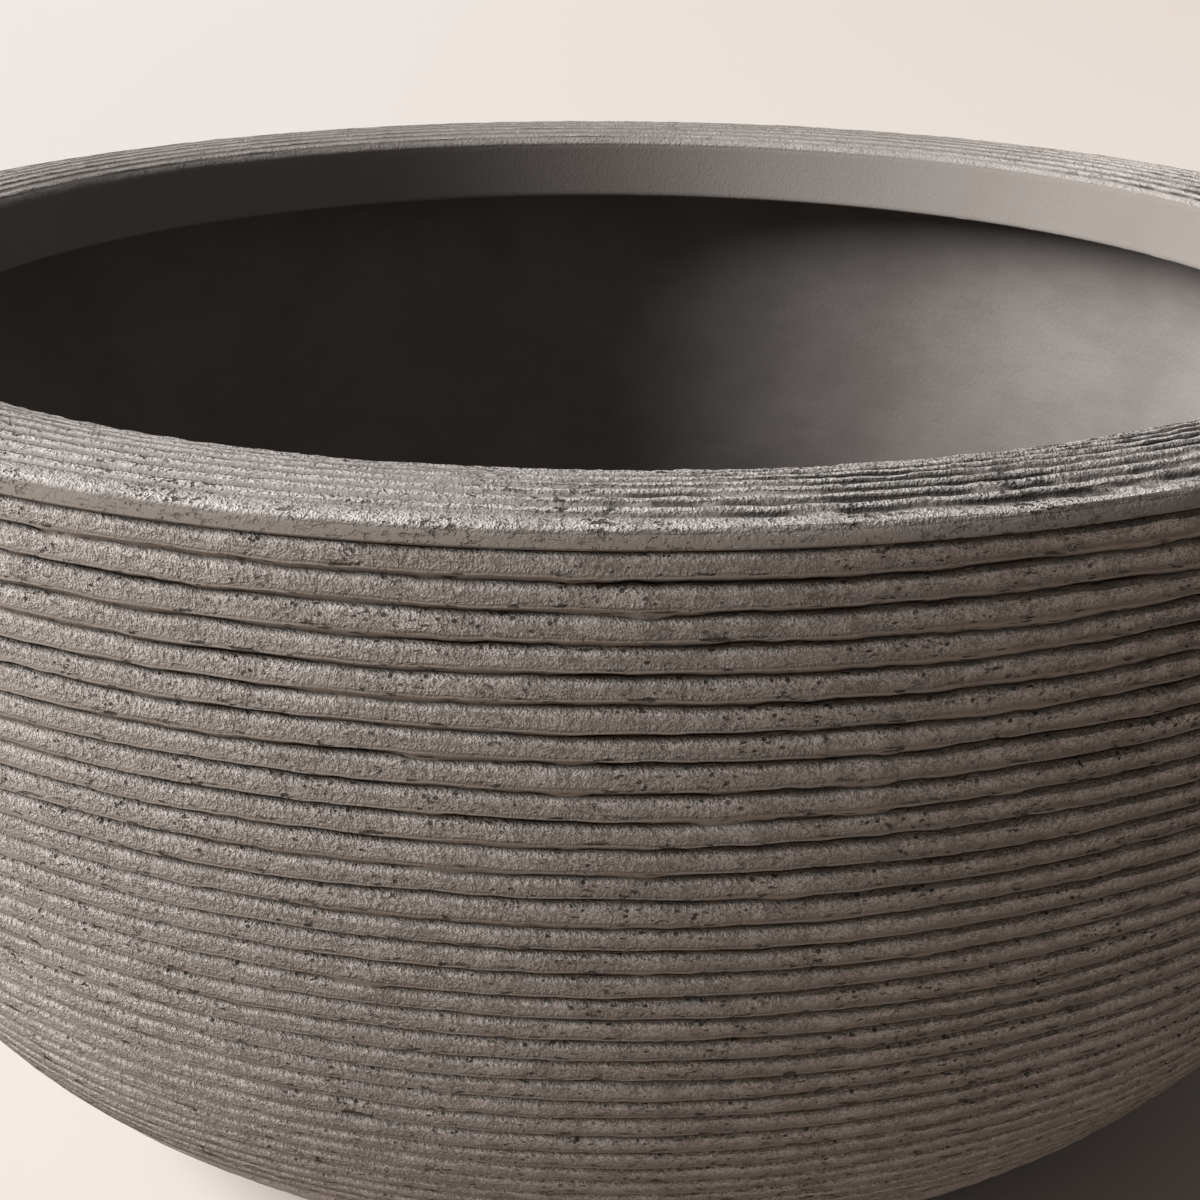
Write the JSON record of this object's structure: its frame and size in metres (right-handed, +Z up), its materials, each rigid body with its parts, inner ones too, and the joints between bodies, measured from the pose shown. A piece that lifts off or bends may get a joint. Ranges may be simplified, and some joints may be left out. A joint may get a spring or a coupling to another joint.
{
  "type": "bowl planter",
  "caption": "Round bowl planter with a rolled-in rim, a horizontally combed wall, a foot ring and a drain hole closed by a lift-out stopper.",
  "frame": {"origin": "on the floor, at the centre of the foot ring", "axes": "+Z up along the bowl's axis; the stopper's grip fin lies along X"},
  "size_m": [0.4999, 0.5, 0.235],
  "materials": {
    "shell_clay": "matt, gritty taupe-grey fibre reinforced clay with combed bands",
    "stopper_rubber": "matt moulded black rubber"
  },
  "bodies": {
    "shell": {"planter_shell": "shell_clay"},
    "stopper": {"drain_stopper": "stopper_rubber"}
  },
  "joints": [
    {"name": "stopper_lift", "type": "slide", "parent": "shell", "child": "stopper", "axis": [0, 0, 1], "range_m": [0, 0.24]}
  ]
}
